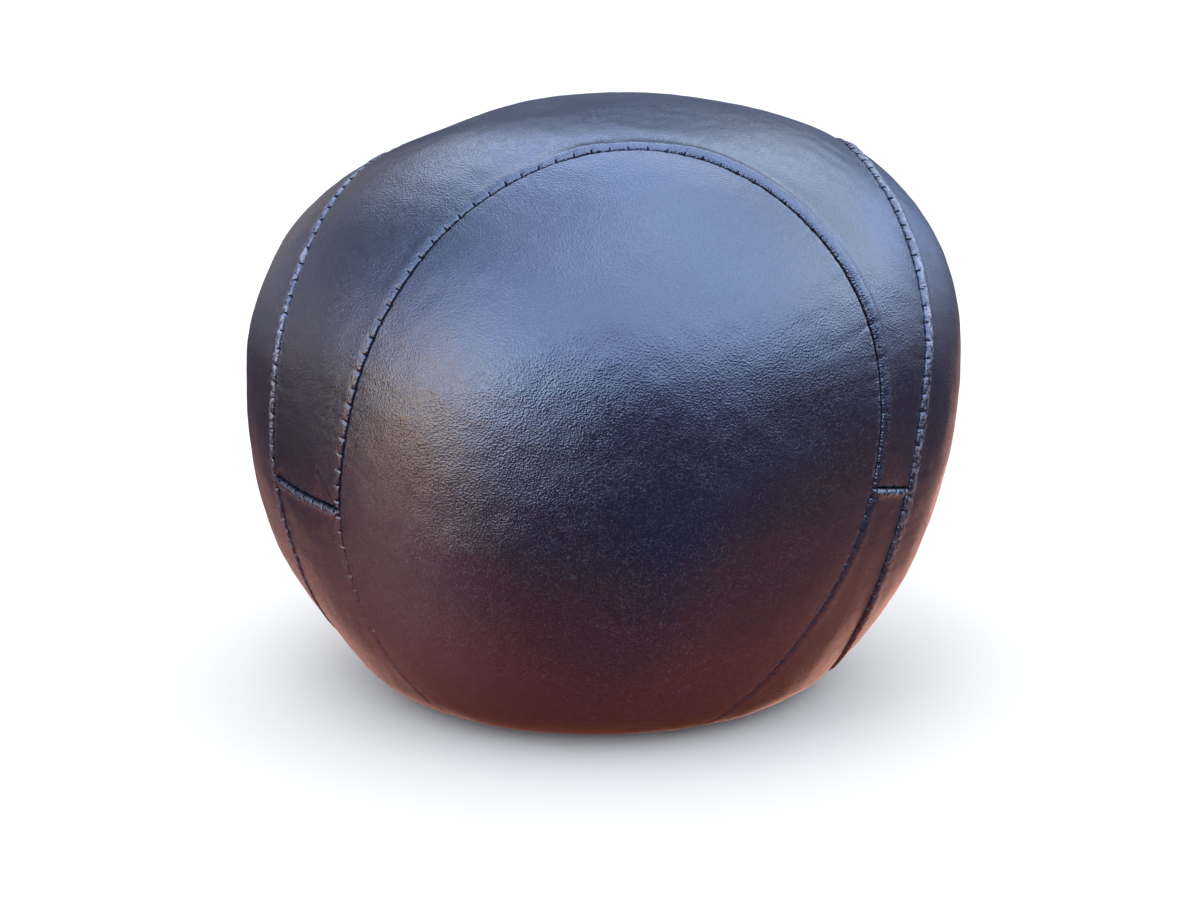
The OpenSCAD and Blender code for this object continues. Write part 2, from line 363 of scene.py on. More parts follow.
class Edge:
    """A panel's edge, able to say how far a point is from it and where along it."""

    def __init__(self, panel, parts):
        self.panel = panel
        loop = joined(parts)
        self.dirs, self.seam, self.phase = loop.dirs, loop.seam, loop.phase
        self.points, self.normals = skin_frame(self.dirs)
        before = self.points - np.roll(self.points, 1, axis=0)
        after = np.roll(self.points, -1, axis=0) - self.points
        inward_a = unit(np.cross(self.normals, unit(before)))
        inward_b = unit(np.cross(self.normals, unit(after)))
        middle = unit(inward_a + inward_b)
        self.mitre = 1 / np.clip(np.sum(middle * inward_b, axis=1), 0.6, 1)
        self.inward = middle
        self.tree = KDTree(len(self.points))
        for i, p in enumerate(self.points):
            self.tree.insert(p, i)
        self.tree.balance()
        step = np.linalg.norm(after, axis=1)
        turned = np.sum(unit(before) * unit(after), axis=1) < 0.9
        self.corner_gap = self.distance_to_corner(step, turned)
        sides = [edge_side(panel, SEAM_NAMES[s]) for s in range(len(SEAM_NAMES))]
        styles = [STYLES[name][sides[i]] for i, name in enumerate(SEAM_NAMES)]
        self.sink, self.ridge, self.width, self.pinch, self.thread, self.rub = (
            np.array([getattr(style, key) for style in styles])[self.seam]
            for key in ("sink", "ridge", "width", "pinch", "thread", "rub")
        )
        self.curl = np.full(len(self.points), ROLL_R)
        self.follow_fullness()
        self.folds = [puckers(panel, name) for name in SEAM_NAMES]

    def follow_fullness(self):
        """Lets the edge's style change along each seam."""
        for number in np.unique(self.seam):
            here = self.seam == number
            full = fullness(SEAM_NAMES[number], self.phase[here])
            self.ridge[here] *= full
            self.rub[here] *= full
            if SEAM_NAMES[number] == "front":
                self.pinch[here] *= 1 - 0.95 * full
                self.thread[here] *= 1 - 0.75 * full
                self.curl[here] *= 0.7 + 1.3 * full
            # below the belt the ovals' edges lap over the base panel, which lies flat under them
            if self.panel == "base" and SEAM_NAMES[number] in OVALS:
                self.curl[here] *= 0.25
                self.sink[here] *= 1.6

    def distance_to_corner(self, step, turned):
        """Length along the edge from each sample to the nearest corner, or far where there is none."""
        count = len(step)
        far = np.full(count, 9.0)
        travel = np.concatenate([[0], np.cumsum(step)])
        for corner in np.nonzero(turned)[0]:
            ahead = np.abs(travel[:count] - travel[corner])
            far = np.minimum(far, np.minimum(ahead, travel[-1] - ahead))
        return far

    def nearest(self, points):
        """Distance from each point to the edge, and the nearest sample and the step along from it."""
        index = np.array([self.tree.find(p)[1] for p in points])
        best = np.full(len(points), 9.0)
        drift = np.zeros(len(points))
        for step in (-1, 1):
            other = (index + step) % len(self.points)
            a, b = self.points[index], self.points[other]
            way = b - a
            t = np.clip(np.sum((points - a) * way, axis=1) / np.sum(way * way, axis=1), 0, 1)
            gap = np.linalg.norm(points - a - way * t[:, None], axis=1)
            closer = gap < best
            best = np.where(closer, gap, best)
            change = self.phase[other] - self.phase[index]
            same_run = (self.seam[index] == self.seam[other]) & (np.abs(change) <= 1)
            change = np.where(same_run, change, 0)
            drift = np.where(closer, t * change, drift)
        return best, index, drift

    def place(self, dirs):
        """Everything that the relief needs to know about points in some directions."""
        points, normals = skin_frame(dirs)
        gap, index, drift = self.nearest(points)
        phase = self.phase[index] + drift
        return SimpleNamespace(points=points, normals=normals, gap=gap, index=index, phase=phase)

    def smooth_depth(self, at):
        return soft_level(at.points, at.gap, self.blended(self.sink, at))

    def blended(self, values, at):
        """A seam's own value near it, running smoothly into the panel's mean far from it."""
        near = np.exp(-at.gap / PUFF_REACH)
        return values[at.index] * near + values.mean() * (1 - near)

    def relief(self, at):
        """Height of the leather above the smooth skin, to the outside."""
        inside = np.maximum(at.gap - SEAM_GAP, 0)
        height = self.smooth_depth(at)
        curl = np.minimum(inside / ROLL_R, 1)
        height -= self.curl[at.index] * (1 - np.sqrt(1 - (1 - curl) ** 2))
        wander = 1 + 0.25 * waves(at.points, 24 * MM, 10, 21)
        ridge = self.ridge[at.index] * wander
        width = self.width[at.index]
        height += ridge * np.exp(-(((inside - 1.1 * width) / width) ** 2))
        height -= 0.06 * ridge * np.exp(-(((inside - 2.9 * width) / (1.1 * width)) ** 2))
        off_stitch = (at.phase - np.floor(at.phase) - 0.5) * STITCH_PITCH
        bite = np.exp(-((off_stitch / BITE_WIDTH) ** 2))
        height -= self.pinch[at.index] * bite * np.exp(-((inside / self.thread[at.index]) ** 4))
        height -= self.fold_depth(at, inside)
        height += RIPPLES[0] * waves(at.points, RIPPLES[1], 16, 31)
        return height

    def fold_depth(self, at, inside):
        """The folds that run out from the stitches, each a shallow crease that fades."""
        depth = np.zeros(len(inside))
        seams = self.seam[at.index]
        for number in np.unique(seams):
            here = seams == number
            sizes, lengths, drifts = self.folds[number]
            k = np.clip(np.floor(at.phase[here]).astype(int), 0, len(sizes) - 1)
            away = inside[here]
            off = (at.phase[here] - k - 0.5) * STITCH_PITCH
            width = 0.8 * MM + 0.05 * away
            crease = np.exp(-(((off - drifts[k] * np.minimum(away, lengths[k])) / width) ** 2))
            depth[here] = CREASE_DEPTH * sizes[k] * crease * np.exp(-away / lengths[k])
        return depth * (inside > 0)

    def rubbed(self, at):
        """How far the leather has rubbed pale, along the crest of the seam's ridge."""
        inside = np.maximum(at.gap - SEAM_GAP, 0)
        width = self.width[at.index]
        return self.rub[at.index] * np.exp(-(((inside - 0.9 * width) / (1.1 * width)) ** 2))

    def surface(self, dirs):
        at = self.place(dirs)
        return at, at.points + at.normals * self.relief(at)[:, None]


PANEL_NAMES = [*ORDER, "top", "base"]
edges = {name: Edge(name, side_loop(name)) for name in ORDER}
edges["top"] = Edge("top", star_loop(True))
edges["base"] = Edge("base", star_loop(False))

# ---------------------------------------------------------------------------------------------------
# Panels: a triangulated outer face, a turned-in edge and a plain inner face
# ---------------------------------------------------------------------------------------------------

FACE_STEP = 1.6  # spacing of the outer face's vertices, in millimetres
BACK_STEP = 5.0  # and of the inner face's
CHART_R = 130  # scale of the flat charts, in millimetres to a radian
# Rows of vertices along the edge: angles round its roll, in degrees, then distances, in millimetres
ROLL_STEPS = [70, 50, 33, 16, 0]
BEYOND_ROLL = [1.4, 1.9, 2.4, 3.0, 3.7, 4.6, 5.8]
GRID_CLEAR = 7.2 * MM  # from the edge to where the even grid takes over
TURNED_WIDTH = 2.2 * MM
LUMP_CAP = 0.3 * MM  # the inner faces don't follow the lumps above this height
BACK_SPARE = 0.3 * MM
BACK_STEP_DOWN = 1.2 * MM  # of the inner face where it meets the turned-in edge


class Chart:
    """Flat map of the directions round a panel's middle: distance and bearing from it are kept."""

    def __init__(self, middle):
        self.out = unit(np.array(middle, float))
        self.east = unit(np.cross([0.1, 0.2, 1.0], self.out))
        self.north = np.cross(self.out, self.east)

    def flat(self, dirs):
        angle = np.arccos(np.clip(dirs @ self.out, -1, 1))
        x, y = dirs @ self.east, dirs @ self.north
        length = np.maximum(np.hypot(x, y), 1e-9)
        return np.stack([x, y], -1) * (CHART_R * angle / length)[:, None]

    def dirs(self, flat):
        length = np.maximum(np.hypot(flat[:, 0], flat[:, 1]), 1e-9)
        angle = length / CHART_R
        sideways = (flat[:, :1] * self.east + flat[:, 1:] * self.north) / length[:, None]
        return self.out * np.cos(angle)[:, None] + sideways * np.sin(angle)[:, None]


def inside_loop(points, loop):
    """Which flat points lie inside a closed loop."""
    inside = np.zeros(len(points), bool)
    x, y = points[:, 0], points[:, 1]
    for (x0, y0), (x1, y1) in zip(loop, np.roll(loop, -1, axis=0)):
        if y0 == y1:
            continue
        crosses = (y0 > y) != (y1 > y)
        inside ^= crosses & (x < (x1 - x0) * (y - y0) / (y1 - y0) + x0)
    return inside


def hex_grid(low, high, step):
    """Points of an even triangular grid over a flat box."""
    rows = []
    for number, y in enumerate(np.arange(low[1], high[1], step * math.sqrt(0.75))):
        x = np.arange(low[0] + (number % 2) * step / 2, high[0], step)
        rows.append(np.stack([x, np.full_like(x, y)], -1))
    return np.concatenate(rows)


def panel_chart(name):
    """Flat map of a panel, from the middle of its oval or from the pattern's pole."""
    if name in OVALS:
        return Chart(edges[name].dirs.mean(0))
    return Chart(PATTERN[:, 2] * (1 if name == "top" else -1))


def triangulate(loop, inner):
    """Anticlockwise triangles that fill a flat loop and use the inner points."""
    points = [Vector(p) for p in np.concatenate([loop, inner])]
    count = len(loop)
    rim = [(i, (i + 1) % count) for i in range(count)]
    found = delaunay_2d_cdt(points, rim, [], 1, 1e-5)
    source = [origin[0] for origin in found[3]]
    return [[source[i] for i in face] for face in found[2]]


def offset_dirs(edge, distance, keep_off_corners=False):
    """Directions of the edge's samples moved inwards by a distance."""
    reach = distance * edge.mitre
    if keep_off_corners:
        reach = np.minimum(reach, np.maximum(0.6 * edge.corner_gap, SEAM_GAP))
    return unit(edge.points + edge.inward * np.reshape(reach, (-1, 1)) - HUB)


def face_dirs(edge, chart, rim, distances, step, clear):
    """Directions of the points inside a rim: rows that follow the edge, then an even grid."""
    rows = []
    for number, distance in enumerate(distances):
        every = 1 if distance < 3 * MM else 2
        start = number % every
        dirs = offset_dirs(edge, distance)[start::every]
        gap, _, _ = edge.nearest(skin(dirs))
        rows.append(dirs[gap > distance * 0.93])
    flat_rim = chart.flat(rim)
    grid = hex_grid(flat_rim.min(0), flat_rim.max(0), step)
    grid = grid[inside_loop(grid, flat_rim)]
    dirs = chart.dirs(grid)
    gap, _, _ = edge.nearest(skin(dirs))
    rows.append(dirs[gap > clear])
    return np.concatenate(rows)


def ring_faces(top, bottom, count):
    """Quads between two closed rows of vertices; the first of each row is given."""
    return [[top + i, bottom + i, bottom + (i + 1) % count, top + (i + 1) % count] for i in range(count)]


def mesh_piece(name, points, faces, attributes=None):
    mesh = bpy.data.meshes.new(name)
    mesh.from_pydata([tuple(p) for p in points], [], faces)
    for key, values in (attributes or {}).items():
        layer = mesh.attributes.new(key, "FLOAT", "POINT")
        layer.data.foreach_set("value", np.asarray(values, np.float32))
    mesh.polygons.foreach_set("use_smooth", [True] * len(mesh.polygons))
    piece = bpy.data.objects.new(name, mesh)
    bpy.context.scene.collection.objects.link(piece)
    return piece


def panel_mesh(name):
    edge = edges[name]
    chart = panel_chart(name)
    rim = offset_dirs(edge, SEAM_GAP)
    roll = [SEAM_GAP + ROLL_R * (1 - math.sin(math.radians(a))) for a in ROLL_STEPS]
    beyond = [d * MM for d in BEYOND_ROLL]
    inner = face_dirs(edge, chart, rim, roll + beyond, FACE_STEP, GRID_CLEAR)
    dirs = np.concatenate([rim, inner])
    at, outer = edge.surface(dirs)
    faces = triangulate(chart.flat(rim), chart.flat(inner))
    count = len(rim)
    rim_points, rim_normals = at.points[:count], at.normals[:count]
    rim_level = np.sum((outer[:count] - rim_points) * rim_normals, axis=1)

    # the edge turned in along the seam
    blocks = [outer]
    wall_starts = [0]
    total = len(outer)
    for share in (0.35, 0.7, 1):
        level = rim_level * (1 - share) - FLANGE_DEPTH * share
        blocks.append(rim_points + rim_normals * level[:, None])
        wall_starts.append(total)
        total += count
    turned = offset_dirs(edge, SEAM_GAP + TURNED_WIDTH, True)
    turned_at = edge.place(turned)
    blocks.append(turned_at.points - turned_at.normals * FLANGE_DEPTH)
    wall_starts.append(total)
    total += count

    # the inner face, one thickness below the smooth form
    back_grid = face_dirs(edge, chart, turned, [], BACK_STEP, BACK_STEP * MM)
    back_dirs = np.concatenate([turned, back_grid])
    back_at = edge.place(back_dirs)
    back_level = np.minimum(edge.smooth_depth(back_at), LUMP_CAP) - LEATHER_T - BACK_SPARE
    back_level[:count] = np.minimum(back_level[:count], -LEATHER_T - BACK_STEP_DOWN)
    blocks.append(back_at.points + back_at.normals * back_level[:, None])
    wall_starts.append(total)
    found = triangulate(chart.flat(turned), chart.flat(back_grid))
    back_faces = [[total + i for i in reversed(face)] for face in found]

    for top, bottom in zip(wall_starts, wall_starts[1:]):
        faces += ring_faces(top, bottom, count)
    faces += back_faces
    points = np.concatenate(blocks)
    hidden = len(points) - len(outer)
    marks = {
        "seam_gap": np.concatenate([at.gap, np.zeros(hidden)]) / MM,
        "seam_phase": np.concatenate([at.phase, np.zeros(hidden)]),
        "rubbed": np.concatenate([edge.rubbed(at), np.zeros(hidden)]),
    }
    return mesh_piece(name + "_leather", points, faces, marks)


# ---------------------------------------------------------------------------------------------------
# Thread: one bar across the seam for each stitch, ending in a hole on either side
# ---------------------------------------------------------------------------------------------------

THREAD_R = 0.31 * MM
THREAD_SIDES = 8
THREAD_SKEW = 0.18 * MM  # how unevenly the holes were pricked
THREAD_PRESS = 0.75 * MM  # how far the ovals' thread is pressed in, well below the belt
# Share of the thread's reach and height above the leather in millimetres, from the hole up to the top
CLIMB = ((1.05, -0.7), (0.95, -0.1), (0.7, 0.15))
# Share of the way across the seam and how far the bar hangs there in millimetres
SAG = ((0.25, 0.05), (0.5, 0.12), (0.75, 0.05))


def beside(names, points, across, share):
    """Points of the leather beside a seam, at a share of the thread's reach on that side."""
    found = np.zeros_like(points)
    for name in set(names):
        here = np.array([n == name for n in names])
        edge = edges[name]
        reach = edge.thread[edge.place(unit(points[here] - HUB)).index]
        found[here] = edge.surface(unit(points[here] + across[here] * share * reach[:, None] - HUB))[1]
    return found


def panels_beside(seam, samples):
    """The panel on each side of a seam, for each of its stitches."""
    if seam in JOINS:
        return ["top"] * len(samples), ["base"] * len(samples)
    count = len(SEAMS[seam].dirs)
    left, right = corners[seam, -1], corners[seam, 1]
    upper = (samples - right) % count < (left - right) % count
    return [seam] * len(samples), ["top" if u else "base" for u in upper]


def thread_mesh(seam):
    line = SEAMS[seam]
    samples = np.arange(line.stitches) * COLUMNS + COLUMNS // 2
    points, normals = skin_frame(line.dirs[samples])
    ahead = skin(line.dirs[(samples + 1) % len(line.dirs)])
    along = unit(ahead - skin(line.dirs[samples - 1]))
    across = np.cross(normals, along)
    near, far = panels_beside(seam, samples)
    rng = np.random.default_rng(500 + SEAM_NAMES.index(seam))
    skew = rng.normal(0, THREAD_SKEW, (2, len(samples), 1)) * along
    pressed = 0.0
    if seam in OVALS:  # below the belt the seam has closed over the thread
        below = -np.degrees(np.arcsin(line.dirs[samples] @ PATTERN[:, 2]))
        pressed = THREAD_PRESS * np.clip((below - 3) / 8, 0, 1)[:, None]
    rows = []
    for side, (names, way) in enumerate(((near, across), (far, -across))):
        stops = []
        for share, lift in CLIMB:
            stops.append(beside(names, points, way, share) + normals * (lift * MM - pressed) + skew[side])
        rows.append(stops)
    a, b = rows[0][-1], rows[1][-1]
    bridge = [a + (b - a) * t - normals * droop * MM for t, droop in SAG]
    path = np.stack(rows[0] + bridge + rows[1][::-1], axis=1)
    heading = unit(np.gradient(path, axis=1))
    lift = unit(np.cross(along[:, None, :], heading))
    vertices, faces = [], []
    steps = path.shape[1]
    turns = 2 * math.pi * np.arange(THREAD_SIDES) / THREAD_SIDES
    for number in range(len(samples)):
        first = number * steps * THREAD_SIDES
        for step in range(steps):
            ring = np.outer(np.cos(turns), along[number]) + np.outer(np.sin(turns), lift[number, step])
            vertices.append(path[number, step] + THREAD_R * ring)
            if step:
                start = first + (step - 1) * THREAD_SIDES
                faces += ring_faces(start + THREAD_SIDES, start, THREAD_SIDES)
        faces.append(list(range(first, first + THREAD_SIDES)))
        last = first + (steps - 1) * THREAD_SIDES
        faces.append(list(range(last, last + THREAD_SIDES))[::-1])
    return mesh_piece(seam + "_thread", np.concatenate(vertices), faces)


# ---------------------------------------------------------------------------------------------------
# Inside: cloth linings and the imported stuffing
# ---------------------------------------------------------------------------------------------------

LINING_T = 1.1 * MM
LINING_DEPTH = 0.5 * MM  # of its outer face under the leather
LINING_INSET = 2.8 * MM
LINING_STEP = 6.0  # spacing of its vertices, in millimetres
STUFFING_DEPTH = 7.9 * MM
STUFFING_COLUMNS = 96
pouch_low, pouch_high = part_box("sand_pouch")
HOLLOW_R = HUB[2] - pouch_low.z + 0.5 * MM
NECK_WELL_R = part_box("pouch_tie")[1].x + 1 * MM
NECK_WELL_TOP = pouch_high.z - HUB[2] + 1 * MM


def lining_mesh(name):
    """Cloth glued to the back of a panel, inside its turned-in edge."""
    edge = edges[name]
    chart = panel_chart(name)
    rim = offset_dirs(edge, SEAM_GAP + LINING_INSET, True)[::4]
    dirs = np.concatenate([rim, face_dirs(edge, chart, rim, [], LINING_STEP, LINING_STEP * MM)])
    at = edge.place(dirs)
    level = np.minimum(edge.smooth_depth(at), LUMP_CAP) - LEATHER_T - LINING_DEPTH
    outer = at.points + at.normals * level[:, None]
    inner = outer - at.normals * LINING_T
    count, total = len(rim), len(dirs)
    face = triangulate(chart.flat(rim), chart.flat(dirs[count:]))
    back = [[total + i for i in reversed(f)] for f in face]
    faces = face + back + ring_faces(0, total, count)
    return mesh_piece(name + "_lining_cloth", np.concatenate([outer, inner]), faces)


def pouch_hollow(angle, with_neck):
    """Reach of the hollow for the pouch from the hub, at an angle from upright in radians."""
    if not with_neck:
        return np.full_like(angle, HOLLOW_R)
    well_side = NECK_WELL_R / np.maximum(np.sin(angle), 1e-6)
    well_top = NECK_WELL_TOP / np.maximum(np.cos(angle), 1e-6)
    return np.maximum(HOLLOW_R, np.minimum(well_side, well_top))


def stuffing_mesh(name, side):
    """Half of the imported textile: from the linings in to the pouch, cut at the tilted belt."""
    columns = STUFFING_COLUMNS
    azimuths = 360 * np.arange(columns) / columns
    tilt = PATTERN[:, 2]
    belt = np.degrees(np.arctan2(-(bearing(azimuths, 0) @ tilt), tilt[2])) + 0.1 * side
    well_angle = math.degrees(math.atan2(NECK_WELL_R, NECK_WELL_TOP))
    mouth_angle = math.degrees(math.asin(NECK_WELL_R / HOLLOW_R))
    fixed = [90 - 0.6 * well_angle, 90 - well_angle, 90 - mouth_angle, 87 - mouth_angle]
    shares = np.linspace(0, 1, 15)[1:]
    rows = [np.full(columns, e) for e in fixed]
    rows += [fixed[-1] + (side * belt - fixed[-1]) * s for s in shares]
    outer, inner = [], []
    for elevation in rows:
        dirs = bearing(azimuths, side * elevation)
        points, normals = skin_frame(dirs)
        lumps = 0.5 * MM * waves(points, 26 * MM, 12, 71)
        outer.append(points - normals * (STUFFING_DEPTH - lumps[:, None]))
        hollow = pouch_hollow(np.radians(90 - elevation), side > 0)
        inner.append(HUB + dirs * hollow[:, None])
    axis = np.array([[0, 0, side]])
    top = skin(axis) - axis * STUFFING_DEPTH
    dimple = HUB + axis * pouch_hollow(np.array([1e-4]), side > 0)
    points = np.concatenate([*outer, *inner[::-1], top, dimple])
    count = len(rows)
    total = 2 * count * columns
    faces = []
    for row in range(2 * count - 1):
        faces += ring_faces(row * columns, (row + 1) * columns, columns)
    last = (2 * count - 1) * columns
    for i in range(columns):
        faces.append([total, i, (i + 1) % columns])
        faces.append([total + 1, last + (i + 1) % columns, last + i])
    if side < 0:
        faces = [face[::-1] for face in faces]
    return mesh_piece(name, points, faces)


# ---------------------------------------------------------------------------------------------------
# Materials
# ---------------------------------------------------------------------------------------------------


class Nodes:
    """A node tree, built step by step."""

    def __init__(self, tree):
        self.nodes = tree.nodes
        self.links = tree.links

    def node(self, kind, inputs=None, **settings):
        made = self.nodes.new(kind)
        for key, value in settings.items():
            setattr(made, key, value)
        for key, value in (inputs or {}).items():
            self.set(made.inputs[key], value)
        return made

    def set(self, socket, value):
        if isinstance(value, bpy.types.NodeSocket):
            self.links.new(value, socket)
        else:
            socket.default_value = value

    def math(self, operation, a, b=0.0, c=0.0):
        return self.node("ShaderNodeMath", {0: a, 1: b, 2: c}, operation=operation).outputs[0]

    def vector_math(self, operation, inputs):
        return self.node("ShaderNodeVectorMath", inputs, operation=operation).outputs[0]

    def spread(self, value, low, high, to_low=0.0, to_high=1.0):
        """Smoothly maps a range of a value onto another."""
        inputs = {"Value": value, "From Min": low, "From Max": high, "To Min": to_low, "To Max": to_high}
        return self.node("ShaderNodeMapRange", inputs, interpolation_type="SMOOTHSTEP").outputs["Result"]

    def mix(self, factor, a, b):
        inputs = {0: factor, 6: a, 7: b}
        return self.node("ShaderNodeMix", inputs, data_type="RGBA").outputs[2]


class Surface(Nodes):
    """A node material on the Principled shader."""

    def __init__(self, name):
        self.material = bpy.data.materials.new(name)
        self.material.use_nodes = True
        super().__init__(self.material.node_tree)
        self.shader = self.nodes["Principled BSDF"]
        self.place = self.node("ShaderNodeTexCoord").outputs["Object"]

    def attribute(self, name):
        return self.node("ShaderNodeAttribute", attribute_name=name).outputs["Fac"]

    def noise(self, scale, detail=3.0, rough=0.5, place=None, distortion=0.0):
        inputs = {"Vector": place or self.place, "Scale": scale, "Detail": detail, "Roughness": rough}
        inputs["Distortion"] = distortion
        return self.node("ShaderNodeTexNoise", inputs).outputs["Fac"]

    def colour_noise(self, scale, size):
        """Noise as a vector of about the given size."""
        noise = self.node("ShaderNodeTexNoise", {"Vector": self.place, "Scale": scale}).outputs["Color"]
        centred = self.vector_math("SUBTRACT", {0: noise, 1: (0.5, 0.5, 0.5)})
        return self.vector_math("SCALE", {0: centred, "Scale": 2 * size})

    def cells(self, scale, feature="F1", place=None, smooth=None):
        inputs = {"Vector": place or self.place, "Scale": scale}
        if smooth is not None:
            inputs["Smoothness"] = smooth
        return self.node("ShaderNodeTexVoronoi", inputs, feature=feature).outputs["Distance"]

    def bump(self, height, strength, depth, under=None):
        inputs = {"Height": height, "Strength": strength, "Distance": depth}
        if under is not None:
            inputs["Normal"] = under
        return self.node("ShaderNodeBump", inputs).outputs["Normal"]

    def finish(self, **inputs):
        for key, value in inputs.items():
            self.set(self.shader.inputs[key.replace("_", " ")], value)
        return self.material


def leather_material():
    s = Surface("worn_leather")
    gap = s.attribute("seam_gap")
    phase = s.attribute("seam_phase")
    rubbed = s.attribute("rubbed")
    grain = s.cells(1500, "SMOOTH_F1", smooth=0.4)
    fleck = s.noise(1300, 3, 0.7)

    # colour: navy black, browner in patches, flecked by the grain, paler where the edges have rubbed
    patches = s.noise(9, 4, 0.55)
    navy = s.mix(s.spread(patches, 0.35, 0.65), (0.004, 0.005, 0.017, 1), (0.007, 0.006, 0.014, 1))
    tone = s.mix(s.spread(fleck, 0.50, 0.70, 0, 0.8), navy, (0.026, 0.025, 0.040, 1))
    scuffs = s.spread(s.noise(480, 4, 0.7), 0.44, 0.64)
    long_wear = s.spread(s.noise(24, 2, 0.5), 0.30, 0.60, 0.45, 1.0)
    wear = s.math("MULTIPLY", s.math("MULTIPLY", rubbed, scuffs), long_wear)
    tone = s.mix(s.math("MULTIPLY", wear, 0.85), tone, (0.27, 0.28, 0.37, 1))
    spots = s.spread(s.cells(90, "F1"), 0.12, 0.07, 0, 0.7)
    speck = s.math("MULTIPLY", spots, s.spread(s.noise(14, 2), 0.52, 0.62))
    tone = s.mix(speck, tone, (0.002, 0.002, 0.004, 1))

    # relief: pebbled grain, fine broken wrinkles and hair creases that run out from the seams
    uneven = s.vector_math("ADD", {0: s.place, 1: s.colour_noise(170, 0.0016)})
    cracks = s.cells(600, "DISTANCE_TO_EDGE", place=uneven)
    worn_middle = s.spread(s.noise(22, 3), 0.34, 0.58)
    broken = s.spread(s.noise(420, 2), 0.38, 0.62)
    wrinkle = s.math("MULTIPLY", s.math("MULTIPLY", s.spread(cracks, 0.08, 0.0), worn_middle), broken)
    strands = s.math("SINE", s.math("MULTIPLY_ADD", phase, 34.0, s.math("MULTIPLY", s.noise(70, 3), 30.0)))
    strand_mask = s.math("MULTIPLY", s.spread(gap, 13.0, 1.5), s.spread(s.noise(60, 2), 0.46, 0.66))
    normal = s.bump(s.noise(70, 3, 0.5), 0.06, 0.001)
    normal = s.bump(s.math("MULTIPLY", strands, strand_mask), 0.12, 0.0002, normal)
    normal = s.bump(s.noise(420, 4, 0.65), 0.025, 0.0003, normal)
    normal = s.bump(wrinkle, 0.17, 0.00012, normal)
    normal = s.bump(grain, 0.70, 0.0002, normal)
    tone = s.mix(s.math("MULTIPLY", wrinkle, 0.08), tone, (0.22, 0.24, 0.33, 1))

    gloss = s.spread(s.noise(30, 4, 0.6), 0.3, 0.7, 0.21, 0.29)
    rough = s.math("ADD", gloss, s.math("MULTIPLY", wear, 0.2))
    return s.finish(Base_Color=tone, Roughness=rough, Normal=normal, IOR=1.6)


def thread_material():
    s = Surface("waxed_thread")
    tone = s.mix(s.spread(s.noise(500, 3), 0.35, 0.7), (0.003, 0.003, 0.007, 1), (0.012, 0.013, 0.022, 1))
    twist = s.noise(1800, 3, 0.6)
    rough = s.spread(twist, 0.3, 0.7, 0.6, 0.8)
    normal = s.bump(twist, 0.5, 0.0002)
    return s.finish(Base_Color=tone, Roughness=rough, Normal=normal, Specular_IOR_Level=0.06)


def weave_material(name, light, dark, pitch, rough):
    """Plain woven cloth: two sets of threads at right angles, with uneven yarn."""
    s = Surface(name)
    count = 2 * math.pi / pitch
    split = s.node("ShaderNodeSeparateXYZ", {0: s.place}).outputs
    warp = s.math("SINE", s.math("MULTIPLY", s.math("ADD", split[0], split[1]), count))
    slant = s.math("MULTIPLY", split[1], 0.3)
    weft = s.math("SINE", s.math("MULTIPLY", s.math("ADD", split[2], slant), count))
    weave = s.math("MULTIPLY", warp, weft)
    uneven = s.noise(90, 4, 0.6)
    tone = s.mix(s.spread(s.math("MULTIPLY_ADD", weave, 0.25, uneven), 0.2, 0.9), dark, light)
    return s.finish(
        Base_Color=tone,
        Roughness=s.spread(uneven, 0.3, 0.7, rough - 0.08, rough + 0.05),
        Normal=s.bump(weave, 0.5, 0.0004),
        Sheen_Weight=0.25,
    )


def stuffing_material():
    s = Surface("packed_rag")
    stretched = s.node("ShaderNodeMapping", {"Vector": s.place, "Scale": (1, 0.5, 1.4)}).outputs[0]
    shreds = s.cells(70, "F1", place=stretched)
    fibres = s.noise(600, 5, 0.7, distortion=1.5)
    tone = s.mix(s.spread(shreds, 0.1, 0.8), (0.42, 0.38, 0.34, 1), (0.22, 0.24, 0.30, 1))
    tone = s.mix(s.spread(fibres, 0.4, 0.7, 0, 0.5), tone, (0.55, 0.52, 0.48, 1))
    normal = s.bump(fibres, 0.5, 0.0008, s.bump(shreds, 0.5, 0.003))
    rough = s.spread(fibres, 0.3, 0.7, 0.8, 0.95)
    return s.finish(Base_Color=tone, Roughness=rough, Normal=normal, Sheen_Weight=0.3)


def sand_material():
    s = Surface("dry_sand")
    grains = s.cells(1500, "F1")
    tone = s.mix(s.spread(s.noise(900, 3), 0.3, 0.7), (0.45, 0.33, 0.18, 1), (0.68, 0.56, 0.38, 1))
    tone = s.mix(s.spread(grains, 0.2, 0.6, 0, 0.4), tone, (0.25, 0.18, 0.12, 1))
    rough = s.spread(grains, 0, 0.7, 0.75, 0.95)
    return s.finish(Base_Color=tone, Roughness=rough, Normal=s.bump(grains, 0.6, 0.0004))


def cord_material():
    s = Surface("cotton_cord")
    split = s.node("ShaderNodeSeparateXYZ", {0: s.place}).outputs
    turn = s.math("ARCTAN2", split[1], split[0])
    strands = s.math("SINE", s.math("MULTIPLY_ADD", turn, 40.0, s.math("MULTIPLY", split[2], 1400.0)))
    tone = s.mix(s.spread(strands, -1, 0.6), (0.45, 0.42, 0.35, 1), (0.78, 0.74, 0.65, 1))
    fuzz = s.noise(900, 3)
    rough = s.spread(fuzz, 0.3, 0.7, 0.75, 0.9)
    return s.finish(Base_Color=tone, Roughness=rough, Normal=s.bump(strands, 0.6, 0.0006))


def wear_material(piece, material):
    piece.data.materials.clear()
    piece.data.materials.append(material)
    for slot in piece.material_slots:
        slot.material = material


# ---------------------------------------------------------------------------------------------------
# The pieces
# ---------------------------------------------------------------------------------------------------


